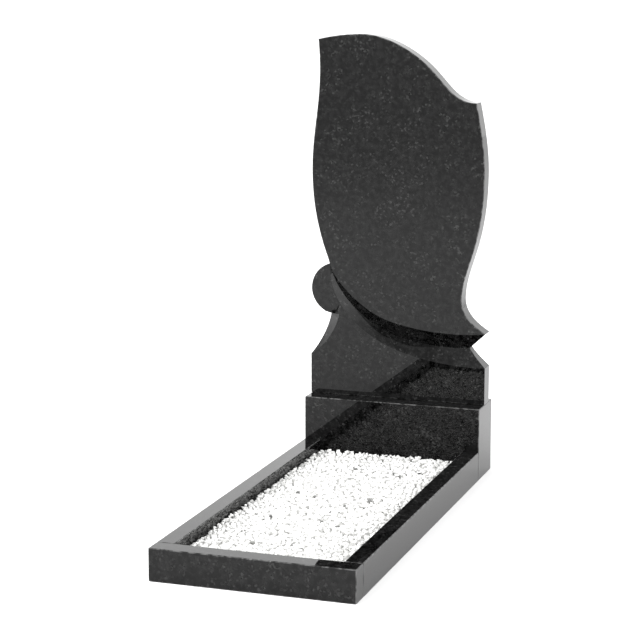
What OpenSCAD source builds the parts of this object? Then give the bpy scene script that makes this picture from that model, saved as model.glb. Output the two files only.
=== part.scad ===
// Headstone set in polished dark granite: a carved upright slab on a plinth, with a kerbed
// bed of white marble chips in front. X is across, Y runs from the foot of the bed to the
// back of the plinth, Z is up. The origin is on the ground, in the middle of the set.

/* [Set] */
// Width across the kerbs, the plinth and the foot of the slab
set_w = 500; // [400:10:700]
// Length of the kerbed bed, from the foot of the set to the front of the plinth
bed_l = 1080; // [600:10:1600]

/* [Slab] */
// Height of the slab
slab_h = 1000; // [700:10:1300]
// Thickness of the slab
slab_t = 50; // [50:5:90]
// Radius of the scroll at the left of the slab
scroll_r = 72; // [62:1:76]
// Depth of the carved groove at its deepest
groove_d = 33; // [8:1:34]
// Depth of the carved groove where it runs out at the right edge
groove_end_d = 26; // [8:1:32]
// Depth of the groove's upper side for each unit of its width
groove_slope = 0.72; // [0.3:0.01:1]
// Depth of the bevel on the neck for each unit of its width
neck_slope = 1.1; // [0.3:0.05:1.2]
// Depth of the little groove that ends the scroll
curl_d = 9; // [3:1:14]

/* [Plinth] */
// Height of the plinth
plinth_h = 200; // [120:5:260]
// Depth of the plinth from front to back
plinth_d = 140; // [120:5:220]
// Width of the ledge in front of the slab
ledge = 55; // [10:1:60]

/* [Kerb] */
// Height of the kerbs
kerb_h = 80; // [60:5:110]
// Thickness of the kerb across the foot
front_kerb_t = 50; // [40:1:80]
// Thickness of the two side kerbs
side_kerb_t = 45; // [40:1:80]

/* [Gravel] */
// Middle level of the gravel above the ground
gravel_h = 50; // [20:1:55]
// Height of the gentle rises in the gravel
gravel_rise = 3; // [0:0.5:4]

/* [Hidden] */

granite = [0.2, 0.2, 0.2];
marble_chips = [0.95, 0.95, 0.93];

foot_y = -(bed_l + plinth_d) / 2;       // outer face of the front kerb
plinth_y = foot_y + bed_l;              // front face of the plinth
slab_y = plinth_y + ledge;              // front face of the slab
side_kerb_l = bed_l - front_kerb_t;
bed_w = set_w - 2 * side_kerb_t;

curve_steps = 18;                       // straight pieces in each curve of the slab
scroll_steps = 26;                      // straight pieces in the scroll
scroll_sides = 96;                      // sides of the disc that keeps the bevel off the scroll
groove_start = 1 / 8;                   // where the groove starts, as a share of its first step
clear = 6;                              // how far a cutter stands proud of the stone it cuts
gravel_cells = [10, 24];                // squares across and along the top of the gravel
gravel_waves = [2.5, 5.5];              // rises across and along the bed

// A point on the slab's face, given on a slab 500 wide and 1000 high. X is from the middle.
function at(x, z) = [x * set_w / 500, z * slab_h / 1000];

// One point of a cubic curve with the four control points c, and a row of such points
function on_curve(c, t) =
    pow(1 - t, 3) * c[0] + 3 * pow(1 - t, 2) * t * c[1]
    + 3 * (1 - t) * t * t * c[2] + pow(t, 3) * c[3];
function curve(c, from = 0) = [for (i = [from:curve_steps]) on_curve(c, i / curve_steps)];

function joined(lists) = [for (l = lists) each l];

// Corners of the slab, each where two curves meet
right_shoulder = at(250, 102);
notch = at(201, 152);
beak = at(250, 197);
top_right = at(216, 821);
top_left = at(-229, 985);
left_shoulder = at(-250, 112);

// The scroll is a disc at the left, from the armpit under the leaf round to the neck
scroll_middle = at(-177, 300);
armpit_bearing = 105;
neck_bearing = 250;
function on_scroll(a) = scroll_middle + scroll_r * [cos(a), sin(a)];
armpit = on_scroll(armpit_bearing);
neck_top = on_scroll(neck_bearing);

// Curves of the slab's outline, anticlockwise from the right shoulder
flank = [right_shoulder, at(234, 117), at(216, 131), notch];
beak_top = [beak, at(216, 217), at(182, 245), at(182, 286)];
hollow = [at(182, 286), at(182, 376), at(241, 426), at(241, 630)];
belly = [at(241, 630), at(241, 695), at(229, 759), top_right];
dip = [top_right, at(160, 821), at(136, 860), at(99, 899)];
crest = [at(99, 899), at(51, 951), at(-33, 1000), at(-105, 1000)];
brow = [at(-105, 1000), at(-150, 1000), at(-196, 993), top_left];
leaf = [top_left, at(-214, 830), at(-247, 753), at(-247, 632)];
leaf_foot = [at(-247, 632), at(-247, 541), at(-233, 464), armpit];
neck = [neck_top, at(-206, 195), at(-219, 155), left_shoulder];

scroll = [for (i = [1:scroll_steps - 1])
    on_scroll(armpit_bearing + (neck_bearing - armpit_bearing) * i / scroll_steps)];

outline = joined([
    [at(-250, 0), at(250, 0)], curve(flank), curve(beak_top), curve(hollow, 1), curve(belly, 1),
    curve(dip, 1), curve(crest, 1), curve(brow, 1), curve(leaf, 1), curve(leaf_foot, 1),
    scroll, curve(neck),
]);

// Carved groove: its upper edge is the lower edge of the sail, its bottom is its deepest
// line, and its lower edge is the crease in the face of the foot. All start at the armpit.
edge_mid = at(-26, 218);
groove_top = joined([
    curve([armpit, at(-183, 318), at(-95, 239), edge_mid]),
    curve([edge_mid, at(50, 196), at(150, 184), beak], 1),
]);
bottom_mid = at(-21, 176);
groove_bottom = joined([
    curve([armpit, at(-178, 268), at(-80, 195), bottom_mid]),
    curve([bottom_mid, at(43, 153), at(130, 143), notch], 1),
]);
crease_mid = at(-55, 161);
groove_crease = joined([
    curve([armpit, at(-196, 250), at(-110, 193), crease_mid]),
    curve([crease_mid, at(5, 126), at(130, 98), right_shoulder], 1),
]);

// Bevel on the left flank of the neck, from the scroll down to the left shoulder
bevel_face = curve([at(-166, 246), at(-168, 192), at(-210, 134), left_shoulder]);
bevel_foot = curve([at(-203, 246), at(-206, 195), at(-219, 155), left_shoulder]);

// Small groove that ends the scroll, curling up inside it from the neck
curl_face = curve([at(-205, 236), at(-184, 234), at(-176, 244), at(-170, 266)]);
curl_bottom = curve([at(-205, 226), at(-180, 222), at(-166, 236), at(-168, 266)]);
curl_crease = curve([at(-205, 214), at(-172, 206), at(-154, 232), at(-166, 266)]);

// A point of the slab in space: p on its face, d deep in the stone
function carved(p, d) = [p[0], slab_y + d, plinth_h + p[1]];

// Solid with a ring of points for each station, closed by its first and last rings
module swept(rings) {
    n = len(rings);
    m = len(rings[0]);
    sides = [for (i = [0:n - 2], j = [0:m - 1], h = [0:1]) let (k = (j + 1) % m)
        h == 0 ? [i * m + j, (i + 1) * m + j, i * m + k]
               : [(i + 1) * m + j, (i + 1) * m + k, i * m + k]];
    first = [for (j = [1:m - 2]) [0, j, j + 1]];
    last = [for (j = [1:m - 2]) [(n - 1) * m, (n - 1) * m + j + 1, (n - 1) * m + j]];
    polyhedron(joined(rings), joined([sides, first, last]));
}

// Section of a groove between the points a and c of the face, deepest below the point b
function groove_ring(a, b, c, depth) =
    [carved(a, 0), carved(a, -clear), carved(c, -clear), carved(c, 0), carved(b, depth)];

// The sail's groove starts as a point near the armpit and runs out past the right edge
module sail_groove() {
    last = len(groove_top) - 1;
    past = [2 * clear, 0];
    function run_out(i) = max(0, 2 * i / last - 1);
    function width(i) = min([for (p = groove_top) norm(p - groove_bottom[i])]);
    function depth(i) = min(groove_d + (groove_end_d - groove_d) * run_out(i),
                            groove_slope * width(i));
    function near_start(c) = c[0] + (c[1] - c[0]) * groove_start;
    swept(joined([
        [groove_ring(near_start(groove_top), near_start(groove_bottom),
                     near_start(groove_crease), depth(1) * groove_start)],
        [for (i = [1:last])
            groove_ring(groove_top[i], groove_bottom[i], groove_crease[i], depth(i))],
        [groove_ring(groove_top[last] + past, groove_bottom[last] + past,
                     groove_crease[last] + past, depth(last))],
    ]));
}

module slab() {
    color(granite) difference() {
        translate([0, slab_y + slab_t, plinth_h]) rotate([90, 0, 0])
            linear_extrude(slab_t) polygon(outline);
        sail_groove();
        neck_bevel();
        scroll_curl();
    }
}

// Bevel that tapers to nothing at the shoulder. Its outer side is carried past the outline,
// and the disc of the scroll is kept out of it.
module neck_bevel() {
    last = len(bevel_face) - 1;
    // at the shoulder the bevel has no width left, so its cutter only points outwards
    function width(i) = i < last ? bevel_foot[i] - bevel_face[i] : [-clear, -clear / 2];
    function over(i) = bevel_face[i] + 2 * width(i);
    function depth(i) = neck_slope * norm(bevel_foot[i] - bevel_face[i]);
    difference() {
        swept([for (i = [0:last])
            [carved(bevel_face[i], 0), carved(bevel_face[i], -clear),
             carved(over(i), -clear), carved(over(i), 2 * depth(i))]]);
        translate([scroll_middle[0], slab_y + slab_t, plinth_h + scroll_middle[1]])
            rotate([90, 0, 0]) cylinder(h = slab_t, r = scroll_r, $fn = scroll_sides);
    }
}

module scroll_curl() {
    last = len(curl_face) - 1;
    function depth(i) = curl_d * (1 - i / last);
    swept([for (i = [0:last - 1])
        groove_ring(curl_face[i], curl_bottom[i], curl_crease[i], depth(i))]);
}

module plinth() {
    color(granite) translate([-set_w / 2, plinth_y, 0]) cube([set_w, plinth_d, plinth_h]);
}

module front_kerb() {
    color(granite) translate([-set_w / 2, foot_y, 0]) cube([set_w, front_kerb_t, kerb_h]);
}

// Side kerb between the front kerb and the plinth, its outer face at x = side * set_w / 2
module side_kerb(side) {
    x = side < 0 ? -set_w / 2 : set_w / 2 - side_kerb_t;
    color(granite) translate([x, foot_y + front_kerb_t, 0])
        cube([side_kerb_t, side_kerb_l, kerb_h]);
}

module left_kerb() {
    side_kerb(-1);
}

module right_kerb() {
    side_kerb(1);
}

// Height of the gravel at u across and v along the bed, each from 0 to 1
function gravel_top(u, v) =
    gravel_h + gravel_rise * sin(360 * gravel_waves[0] * u) * sin(360 * gravel_waves[1] * v);

module gravel() {
    function spot(u, v, z) =
        [bed_w * (u - 0.5), foot_y + front_kerb_t + side_kerb_l * v, z];
    nu = gravel_cells[0];
    nv = gravel_cells[1];
    // each ring starts on the ground at the left and runs over the top to the right
    rings = [for (j = [0:nv]) joined([
        [spot(0, j / nv, 0)],
        [for (i = [0:nu]) spot(i / nu, j / nv, gravel_top(i / nu, j / nv))],
        [spot(1, j / nv, 0)],
    ])];
    color(marble_chips) swept(rings);
}

slab();
plinth();
front_kerb();
left_kerb();
right_kerb();
gravel();
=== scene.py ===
import math
import random

import bmesh
import bpy
import numpy
from mathutils import Euler, Matrix, Vector


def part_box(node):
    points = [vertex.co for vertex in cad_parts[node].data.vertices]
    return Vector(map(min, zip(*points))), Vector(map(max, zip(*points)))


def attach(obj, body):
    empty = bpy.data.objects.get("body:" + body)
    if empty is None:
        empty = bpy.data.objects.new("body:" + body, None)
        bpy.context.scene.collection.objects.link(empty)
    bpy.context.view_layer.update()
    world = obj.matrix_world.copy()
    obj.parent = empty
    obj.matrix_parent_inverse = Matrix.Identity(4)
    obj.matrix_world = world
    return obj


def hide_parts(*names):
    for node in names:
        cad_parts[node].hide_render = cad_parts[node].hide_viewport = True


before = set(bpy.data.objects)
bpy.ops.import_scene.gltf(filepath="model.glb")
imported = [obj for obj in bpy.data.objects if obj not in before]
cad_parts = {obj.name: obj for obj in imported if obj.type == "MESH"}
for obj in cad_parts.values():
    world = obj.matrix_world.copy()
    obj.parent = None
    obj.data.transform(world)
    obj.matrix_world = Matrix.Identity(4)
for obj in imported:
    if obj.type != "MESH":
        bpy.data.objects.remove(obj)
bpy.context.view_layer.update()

# Headstone set: a carved slab on a plinth, with kerbs round a bed of marble chips. All in metres.
scene = bpy.context.scene
print("frame loaded:", ", ".join(sorted(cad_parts)))


# Node helpers, shared by every material

def newMaterial(name):
    material = bpy.data.materials.new(name)
    material.use_nodes = True
    material.node_tree.nodes.clear()
    return material, material.node_tree


def feed(tree, socket, value):
    if isinstance(value, bpy.types.NodeSocket):
        tree.links.new(value, socket)
    else:
        socket.default_value = value


def addNode(tree, kind, settings=None, **inputs):
    node = tree.nodes.new(kind)
    for name, value in (settings or {}).items():
        setattr(node, name, value)
    for name, value in inputs.items():
        feed(tree, node.inputs[name.replace("_", " ")], value)
    return node


def addMath(tree, kind, operation, *values):
    node = addNode(tree, kind, {"operation": operation})
    for socket, value in zip(node.inputs, values):
        feed(tree, socket, value)
    return node.outputs[0]


def addRange(tree, value, newSpan, oldSpan=(0.0, 1.0), curve="LINEAR"):
    spread = addNode(tree, "ShaderNodeMapRange", {"interpolation_type": curve}, Value=value,
                     From_Min=oldSpan[0], From_Max=oldSpan[1], To_Min=newSpan[0], To_Max=newSpan[1])
    return spread.outputs["Result"]


def addRamp(tree, factor, stops):
    ramp = addNode(tree, "ShaderNodeValToRGB", Fac=factor)
    elements = ramp.color_ramp.elements
    while len(elements) < len(stops):
        elements.new(0.5)
    for element, (place, tone) in zip(elements, stops):
        element.position = place
        element.color = (*tone, 1) if isinstance(tone, tuple) else (tone, tone, tone, 1)
    return ramp.outputs["Color"]


def addRelief(tree, place, scale, detail, strength, depth):
    grain = addNode(tree, "ShaderNodeTexNoise", Vector=place, Scale=scale, Detail=detail)
    relief = addNode(tree, "ShaderNodeBump", Height=grain.outputs["Fac"], Strength=strength,
                     Distance=depth)
    return relief.outputs["Normal"]


def mixColours(tree, blend, share, first, second):
    mixed = addNode(tree, "ShaderNodeMix", {"data_type": "RGBA", "blend_type": blend},
                    Factor=share, A=first, B=second)
    return mixed.outputs["Result"]


def finishMaterial(tree, shader, normal=None):
    if normal:
        tree.links.new(normal, shader.inputs["Normal"])
    output = tree.nodes.new("ShaderNodeOutputMaterial")
    tree.links.new(shader.outputs["BSDF"], output.inputs["Surface"])


# Granite: near-black ground with grey flecks that lie in loose drifts

graniteSet = {
    "fleckScale": 205.0,            # cells in a metre, so a fleck is about 5 mm
    "warpScale": 120.0,             # the warp gives the flecks ragged outlines
    "warpReach": 0.005,
    "driftScale": 22.0,
    "driftNoise": (0.35, 0.65),
    "driftShift": (-0.1, 0.08),     # fewer flecks between the drifts, and more in them
    "mottleScale": 65.0,
    "mottleNoise": (0.4, 0.64),
    "mottle": 0.005,                # tone that the soft clouds add at their palest
    "ground": 0.0007,
    "paleFleck": 0.0048,
    "brightFleck": 0.019,
    "darkest": 0.7,                 # share of the ground's own tone in its darkest cells
    "palest": 0.6,                  # no ground or fleck is paler, however it is finished
    "fleckStops": (0.7, 0.84, 0.93),    # where the ground ends, and the pale flecks start and end
    "reflection": 1.315,            # index of refraction of the polish
    "grainScale": 700.0,
    "grainDepth": 0.0006,
}

# lift makes a finish paler than the polish
finishSet = {
    "polished": {"lift": 1.0, "roughness": (0.0, 0.02), "bump": 0.0},
    "eased": {"lift": 14.0, "roughness": (0.25, 0.4), "bump": 0.15},
    "sawn": {"lift": 22.0, "roughness": (0.7, 0.85), "bump": 0.6},
}


def warpPlace(tree, place):
    warp = addNode(tree, "ShaderNodeTexNoise", Vector=place, Scale=graniteSet["warpScale"],
                   Detail=2.0)
    vectorMath = "ShaderNodeVectorMath"
    centred = addMath(tree, vectorMath, "SUBTRACT", warp.outputs["Color"], (0.5, 0.5, 0.5))
    reach = addMath(tree, vectorMath, "MULTIPLY", centred, (graniteSet["warpReach"],) * 3)
    return addMath(tree, vectorMath, "ADD", place, reach)


def fleckTones(lift):
    ground = min(graniteSet["palest"], graniteSet["ground"] * lift)
    pale, bright = [min(graniteSet["palest"], graniteSet[name] * math.sqrt(lift))
                    for name in ("paleFleck", "brightFleck")]
    groundEnd, paleStart, paleEnd = graniteSet["fleckStops"]
    return [(0.0, ground * graniteSet["darkest"]), (groundEnd, ground), (paleStart, pale),
            (paleEnd, pale), (1.0, bright)]


def makeGranite(finish):
    look = finishSet[finish]
    material, tree = newMaterial(finish + "Granite")
    place = addNode(tree, "ShaderNodeTexCoord").outputs["Object"]
    cells = addNode(tree, "ShaderNodeTexVoronoi", Vector=warpPlace(tree, place),
                    Scale=graniteSet["fleckScale"])
    chance = addNode(tree, "ShaderNodeSeparateColor", Color=cells.outputs["Color"]).outputs["Red"]
    drift = addNode(tree, "ShaderNodeTexNoise", Vector=place, Scale=graniteSet["driftScale"],
                    Detail=3.0)
    shift = addRange(tree, drift.outputs["Fac"], graniteSet["driftShift"], graniteSet["driftNoise"])
    shifted = addMath(tree, "ShaderNodeMath", "ADD", chance, shift)
    flecks = addRamp(tree, shifted, fleckTones(look["lift"]))

    mottle = addNode(tree, "ShaderNodeTexNoise", Vector=place, Scale=graniteSet["mottleScale"],
                     Detail=2.0)
    mottleStart, mottleEnd = graniteSet["mottleNoise"]
    clouds = addRamp(tree, mottle.outputs["Fac"],
                     [(mottleStart, 0.0), (mottleEnd, graniteSet["mottle"] * look["lift"])])
    shader = addNode(tree, "ShaderNodeBsdfPrincipled", IOR=graniteSet["reflection"],
                     Base_Color=mixColours(tree, "ADD", 1.0, flecks, clouds),
                     Roughness=addRange(tree, chance, look["roughness"]))
    grain = None
    if look["bump"]:
        grain = addRelief(tree, place, graniteSet["grainScale"], detail=3.0,
                          strength=look["bump"], depth=graniteSet["grainDepth"])
    finishMaterial(tree, shader, grain)
    return material


stone = [makeGranite(finish) for finish in ("polished", "eased", "sawn")]
polishedSide, easedSide, sawnSide = range(3)
print("granite mixed")


# Cut stone: each block keeps its CAD size and gets eased edges

stoneSet = {
    "weld": 0.00002,
    "flatDegrees": 0.05,        # faces closer than this to one plane are joined
    "easeDegrees": 24.0,        # outer edges sharper than this are eased
    "wallTilt": 0.05,           # a face this square to the front is one of the slab's side walls
    "downward": -0.99,          # a face that looks down at least this much was left sawn
    "ease": 0.0022,
    "easeSteps": 2,
    "smoothDegrees": 22.0,
}


def isWall(face):
    return abs(face.normal.y) < stoneSet["wallTilt"]


def isClear(edge, width):
    near = [other for vert in edge.verts for other in vert.link_edges]
    valley = -math.radians(stoneSet["easeDegrees"])
    return (min(other.calc_length() for other in near) > 2 * width
            and min(other.calc_face_angle_signed() for other in near) > valley)


def easeEdges(bm, width, carved=False):
    sharp = math.radians(stoneSet["easeDegrees"])
    edges = [edge for edge in bm.edges if edge.calc_face_angle_signed() > sharp]
    if carved:      # only the outline, clear of its inner corners, so the carved lines stay crisp
        edges = [edge for edge in edges if isClear(edge, width)
                 and isWall(edge.link_faces[0]) != isWall(edge.link_faces[1])]
    made = bmesh.ops.bevel(bm, geom=edges, offset=width, offset_type="OFFSET", affect="EDGES",
                           segments=stoneSet["easeSteps"], profile=0.5, material=-1,
                           clamp_overlap=False)
    for face in made["faces"]:
        face.material_index = easedSide


def finishStone(bm, name, node):
    for face in bm.faces:
        face.smooth = True
        if face.normal.z < stoneSet["downward"]:
            face.material_index = sawnSide
    mesh = bpy.data.meshes.new(name)
    bm.to_mesh(mesh)
    bm.free()
    oldNormals = mesh.attributes.get("custom_normal")
    if oldNormals:
        mesh.attributes.remove(oldNormals)
    for material in stone:
        mesh.materials.append(material)
    mesh.set_sharp_from_angle(angle=math.radians(stoneSet["smoothDegrees"]))
    piece = bpy.data.objects.new(name, mesh)
    scene.collection.objects.link(piece)
    weighted = piece.modifiers.new("flat faces stay flat", "WEIGHTED_NORMAL")
    weighted.keep_sharp = True
    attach(piece, "root")
    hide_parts(node)


def blockShape(low, high):
    bm = bmesh.new()
    bmesh.ops.create_cube(bm, size=1.0)
    bmesh.ops.scale(bm, vec=high - low, verts=bm.verts)
    bmesh.ops.translate(bm, vec=(low + high) / 2, verts=bm.verts)
    return bm


def cutBlock(name, node):
    bm = blockShape(*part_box(node))
    easeEdges(bm, stoneSet["ease"])
    finishStone(bm, name, node)


def carveSlab():
    bm = bmesh.new()
    bm.from_mesh(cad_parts["slab"].data)
    bmesh.ops.remove_doubles(bm, verts=bm.verts, dist=stoneSet["weld"])
    bmesh.ops.dissolve_limit(bm, angle_limit=math.radians(stoneSet["flatDegrees"]),
                             verts=bm.verts, edges=bm.edges)
    easeEdges(bm, stoneSet["ease"], carved=True)
    finishStone(bm, "carved_slab", "slab")


carveSlab()
for name, node in (("plinth_block", "plinth"), ("foot_kerb", "front_kerb"),
                   ("left_side_kerb", "left_kerb"), ("right_side_kerb", "right_kerb")):
    cutBlock(name, node)
print("stones cut")


# Marble: mostly white, with a few grey chips and faint veins

marbleSet = {
    "tones": [(0.0, (0.07, 0.07, 0.07)), (0.012, (0.25, 0.25, 0.24)), (0.03, (0.68, 0.68, 0.67)),
              (0.3, (0.76, 0.76, 0.75)), (1.0, (0.83, 0.83, 0.82))],
    "veinScale": 240.0,
    "veinTones": [(0.36, 0.8), (0.48, 1.0)],
    "veinShare": 0.6,
    "roughness": (0.45, 0.7),
    "reflection": 1.45,
    "grainScale": 1400.0,
    "grainStrength": 0.35,
    "grainDepth": 0.0004,
}


def makeMarble():
    material, tree = newMaterial("crushedMarble")
    place = addNode(tree, "ShaderNodeTexCoord").outputs["Object"]
    chipTone = addNode(tree, "ShaderNodeAttribute", {"attribute_name": "chipTone"}).outputs["Fac"]
    colour = addRamp(tree, chipTone, marbleSet["tones"])
    vein = addNode(tree, "ShaderNodeTexNoise", Vector=place, Scale=marbleSet["veinScale"],
                   Detail=4.0).outputs["Fac"]
    veined = mixColours(tree, "MULTIPLY", marbleSet["veinShare"], colour,
                        addRamp(tree, vein, marbleSet["veinTones"]))
    shader = addNode(tree, "ShaderNodeBsdfPrincipled", IOR=marbleSet["reflection"],
                     Base_Color=veined, Roughness=addRange(tree, vein, marbleSet["roughness"]))
    grain = addRelief(tree, place, marbleSet["grainScale"], detail=2.0,
                      strength=marbleSet["grainStrength"], depth=marbleSet["grainDepth"])
    finishMaterial(tree, shader, grain)
    return material


# Gravel: crushed, angular chips, dropped one by one onto a packed bed of the same stone

gravelSet = {
    "seed": 41,
    "shapes": 20,               # different chips, each used many times
    "cornerShift": 0.15,
    "cuts": 4,                  # fracture faces on each
    "cutReach": (0.4, 0.55),    # how far they lie from a chip's middle
    "breadth": (0.7, 1.0),
    "thinness": (0.45, 0.85),
    "smallest": 0.0065,
    "largest": 0.0125,
    "sizeBias": 1.5,            # over 1 makes small chips the common ones
    "tiltDegrees": 22.0,
    "chips": 12500,             # chips dropped, of which those that would lie too high are left out
    "tries": 3,                 # places tried for each, and the lowest is taken
    "bedLevel": 0.041,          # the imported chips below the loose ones
    "bedTone": 0.5,
    "topLevel": 0.0535,         # no chip's middle comes to rest above this
    "cell": 0.0025,             # square of the map of how high the gravel has come
    "reachOut": 1.1,            # squared distance from a chip's middle to its edge on the map
    "edgeShare": 0.1,           # squared thickness that is left at its edge
    "wallGap": 0.0006,
    "parts": 3,
}


def randomFacing(draw):
    return Vector([draw.gauss(0, 1) for axis in range(3)]).normalized()


def breakChip(draw):
    shift = gravelSet["cornerShift"]
    bm = bmesh.new()
    bmesh.ops.create_cube(bm, size=1.0)
    for vert in bm.verts:
        vert.co += Vector([draw.uniform(-shift, shift) for axis in range(3)])
    for cut in range(gravelSet["cuts"]):
        facing = randomFacing(draw)
        cutPlace = facing * draw.uniform(*gravelSet["cutReach"])
        geometry = bm.verts[:] + bm.edges[:] + bm.faces[:]
        made = bmesh.ops.bisect_plane(bm, geom=geometry, plane_co=cutPlace, plane_no=facing,
                                      clear_outer=True)
        rim = [part for part in made["geom_cut"] if isinstance(part, bmesh.types.BMEdge)]
        if rim:
            bmesh.ops.edgeloop_fill(bm, edges=rim)
    bmesh.ops.triangulate(bm, faces=bm.faces)
    bmesh.ops.recalc_face_normals(bm, faces=bm.faces)
    thin = draw.uniform(*gravelSet["thinness"])
    broad = draw.uniform(*gravelSet["breadth"])
    bmesh.ops.scale(bm, vec=(1, broad, thin), verts=bm.verts)
    mesh = bpy.data.meshes.new("chip")
    bm.to_mesh(mesh)
    bm.free()
    return mesh


def chipCorners(mesh):
    corners = numpy.empty(len(mesh.vertices) * 3)
    mesh.vertices.foreach_get("co", corners)
    return corners.reshape(-1, 3)


def turnChip(draw):
    spread = gravelSet["largest"] - gravelSet["smallest"]
    size = gravelSet["smallest"] + spread * draw.random() ** gravelSet["sizeBias"]
    tilt = math.radians(gravelSet["tiltDegrees"])
    turn = Euler((draw.gauss(0, tilt), draw.gauss(0, tilt), draw.uniform(0, 2 * math.pi)), "ZYX")
    return turn.to_matrix() * size


def findSpot(draw, level, low, high, points):
    cell, gap, reachOut = [gravelSet[name] for name in ("cell", "wallGap", "reachOut")]
    lowest, highest = points.min(0), points.max(0)
    reach = [max(1, int((highest[axis] - lowest[axis]) / 2 / cell + 0.5)) for axis in (0, 1)]
    u, v = numpy.meshgrid(numpy.linspace(-1, 1, 2 * reach[0] + 1),
                          numpy.linspace(-1, 1, 2 * reach[1] + 1), indexing="ij")
    inside = u * u + v * v < reachOut
    share = numpy.sqrt(numpy.clip(reachOut - u * u - v * v, gravelSet["edgeShare"], 1))
    belly = (highest[2] - lowest[2]) / 2 * share
    best = None
    for attempt in range(gravelSet["tries"]):
        x = draw.uniform(low.x + gap - lowest[0], high.x - gap - highest[0])
        y = draw.uniform(low.y + gap - lowest[1], high.y - gap - highest[1])
        i = min(max(int((x - low.x) / cell), reach[0]), level.shape[0] - reach[0] - 1)
        j = min(max(int((y - low.y) / cell), reach[1]), level.shape[1] - reach[1] - 1)
        patch = level[i - reach[0]:i + reach[0] + 1, j - reach[1]:j + reach[1] + 1]
        rest = (patch + belly)[inside].max()
        if best is None or rest < best[0]:
            best = (rest, x, y, patch)
    rest, x, y, patch = best
    if rest > gravelSet["topLevel"]:
        return None
    numpy.maximum(patch, numpy.where(inside, rest + belly, 0), out=patch)   # the chip now fills it
    return x, y, rest - (lowest[2] + highest[2]) / 2


def pourGravel():
    draw = random.Random(gravelSet["seed"])
    low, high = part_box("gravel")
    shapes = [breakChip(draw) for number in range(gravelSet["shapes"])]
    corners = [chipCorners(mesh) for mesh in shapes]
    squares = [int((high[axis] - low[axis]) / gravelSet["cell"]) + 1 for axis in (0, 1)]
    level = numpy.full(squares, gravelSet["bedLevel"])
    placed = []
    for number in range(gravelSet["chips"]):
        kind = draw.randrange(len(shapes))
        pose = turnChip(draw)
        spot = findSpot(draw, level, low, high, corners[kind] @ numpy.array(pose).T)
        if spot:
            placed.append((kind, Matrix.Translation(spot) @ pose.to_4x4(), draw.random()))
    print("chips placed:", len(placed), "mean level", round(float(level.mean()), 4))
    return shapes, placed


def finishGravel(bm, name, tones, material):
    mesh = bpy.data.meshes.new(name)
    bm.to_mesh(mesh)
    bm.free()
    mesh.attributes.new("chipTone", "FLOAT", "POINT").data.foreach_set("value", tones)
    mesh.materials.append(material)
    piece = bpy.data.objects.new(name, mesh)
    scene.collection.objects.link(piece)
    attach(piece, "root")
    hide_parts("gravel")


def joinGravel(shapes, placed, material):
    low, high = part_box("gravel")
    length = (high.y - low.y) / gravelSet["parts"]
    lastPart = gravelSet["parts"] - 1
    for part in range(gravelSet["parts"]):
        bm = bmesh.new()
        tones = []
        for kind, pose, tone in placed:
            if part != min(int((pose.translation.y - low.y) / length), lastPart):
                continue
            chip = shapes[kind].copy()
            chip.transform(pose)
            bm.from_mesh(chip)
            tones += [tone] * len(chip.vertices)
            bpy.data.meshes.remove(chip)
        finishGravel(bm, f"loose_chips_{part + 1}", tones, material)


def layBed(material):
    low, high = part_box("gravel")
    bm = blockShape(low, Vector((high.x, high.y, low.z + gravelSet["bedLevel"])))
    finishGravel(bm, "packed_chips", [gravelSet["bedTone"]] * len(bm.verts), material)


marble = makeMarble()
joinGravel(*pourGravel(), marble)
layBed(marble)
print("gravel poured")


# Studio: pale floor, bright surroundings, one large soft light from the left

studioSet = {
    "floorHalf": 60.0,
    "floorTone": 0.9,
    "floorRoughness": 0.9,
    "horizon": 1.75,            # brightness of the surroundings low down
    "overhead": 0.85,           # and high up
    "skyStops": (0.35, 0.9),    # heights between which the one fades into the other
    "rightGain": 1.3,           # added to the strength of 1 on the right
    "rightStops": (0.25, 0.75),
    "lampPlace": (-4.6, -1.8, 3.8),
    "lampAim": (0.0, 0.0, 0.3),
    "lampSide": 3.0,
    "lampPower": 480.0,
}

cameraSet = {
    "place": (1.4973, -4.4918, 1.4078),
    "pitchDegrees": -10.673,
    "turnDegrees": 18.940,
    "lens": 108.81,
    "sensor": 36.0,
}


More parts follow.
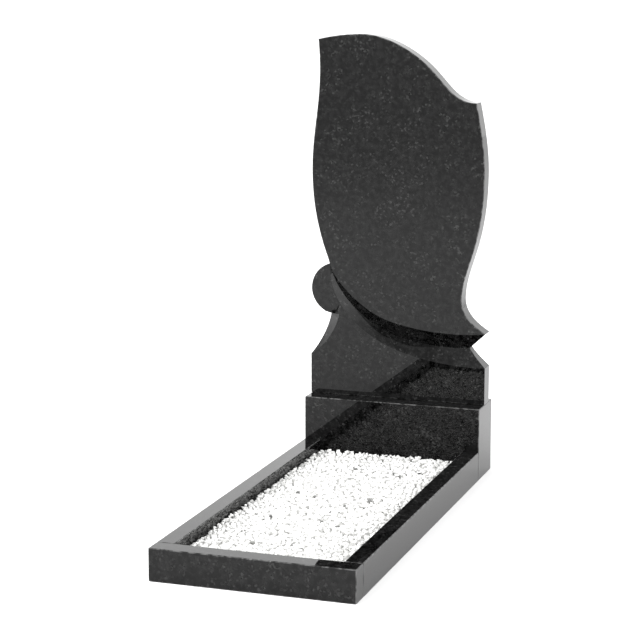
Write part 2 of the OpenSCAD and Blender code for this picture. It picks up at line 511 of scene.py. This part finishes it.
def makeFloor():
    material, tree = newMaterial("paleFloor")
    tone = studioSet["floorTone"]
    shader = addNode(tree, "ShaderNodeBsdfPrincipled", Base_Color=(tone, tone, tone, 1),
                     Roughness=studioSet["floorRoughness"], Specular_IOR_Level=0.0)
    finishMaterial(tree, shader)
    bm = bmesh.new()
    bmesh.ops.create_grid(bm, x_segments=1, y_segments=1, size=studioSet["floorHalf"])
    mesh = bpy.data.meshes.new("floor")
    bm.to_mesh(mesh)
    bm.free()
    mesh.materials.append(material)
    floor = bpy.data.objects.new("floor", mesh)
    scene.collection.objects.link(floor)


def lightRoom():
    world = bpy.data.worlds.new("studio")
    world.use_nodes = True
    tree = world.node_tree
    tree.nodes.clear()
    way = addNode(tree, "ShaderNodeTexCoord").outputs["Generated"]
    parts = addNode(tree, "ShaderNodeSeparateXYZ", Vector=way).outputs
    fadeStart, fadeEnd = studioSet["skyStops"]
    glow = addRamp(tree, parts["Z"], [(0.0, studioSet["horizon"]), (fadeStart, studioSet["horizon"]),
                                      (fadeEnd, studioSet["overhead"])])
    strength = addRange(tree, parts["X"], (1.0, 1.0 + studioSet["rightGain"]),
                        studioSet["rightStops"], "SMOOTHSTEP")
    backdrop = addNode(tree, "ShaderNodeBackground", Color=glow, Strength=strength)
    output = tree.nodes.new("ShaderNodeOutputWorld")
    tree.links.new(backdrop.outputs["Background"], output.inputs["Surface"])
    scene.world = world


def hangLamp():
    light = bpy.data.lights.new("softBox", "AREA")
    light.shape = "SQUARE"
    light.size = studioSet["lampSide"]
    light.energy = studioSet["lampPower"]
    lamp = bpy.data.objects.new("softBox", light)
    lamp.location = studioSet["lampPlace"]
    lamp.visible_glossy = False     # the polish mirrors the room and not the lamp
    aim = Vector(studioSet["lampAim"]) - lamp.location
    lamp.rotation_euler = aim.to_track_quat("-Z", "Y").to_euler()
    scene.collection.objects.link(lamp)


def placeCamera():
    camera = bpy.data.cameras.new("camera")
    camera.sensor_width = cameraSet["sensor"]
    camera.lens = cameraSet["lens"]
    stand = bpy.data.objects.new("camera", camera)
    stand.location = cameraSet["place"]
    stand.rotation_euler = (math.radians(90 + cameraSet["pitchDegrees"]), 0,
                            math.radians(cameraSet["turnDegrees"]))
    scene.collection.objects.link(stand)
    scene.camera = stand


makeFloor()
lightRoom()
hangLamp()
placeCamera()
scene.view_settings.view_transform = "Standard"
print("studio ready")
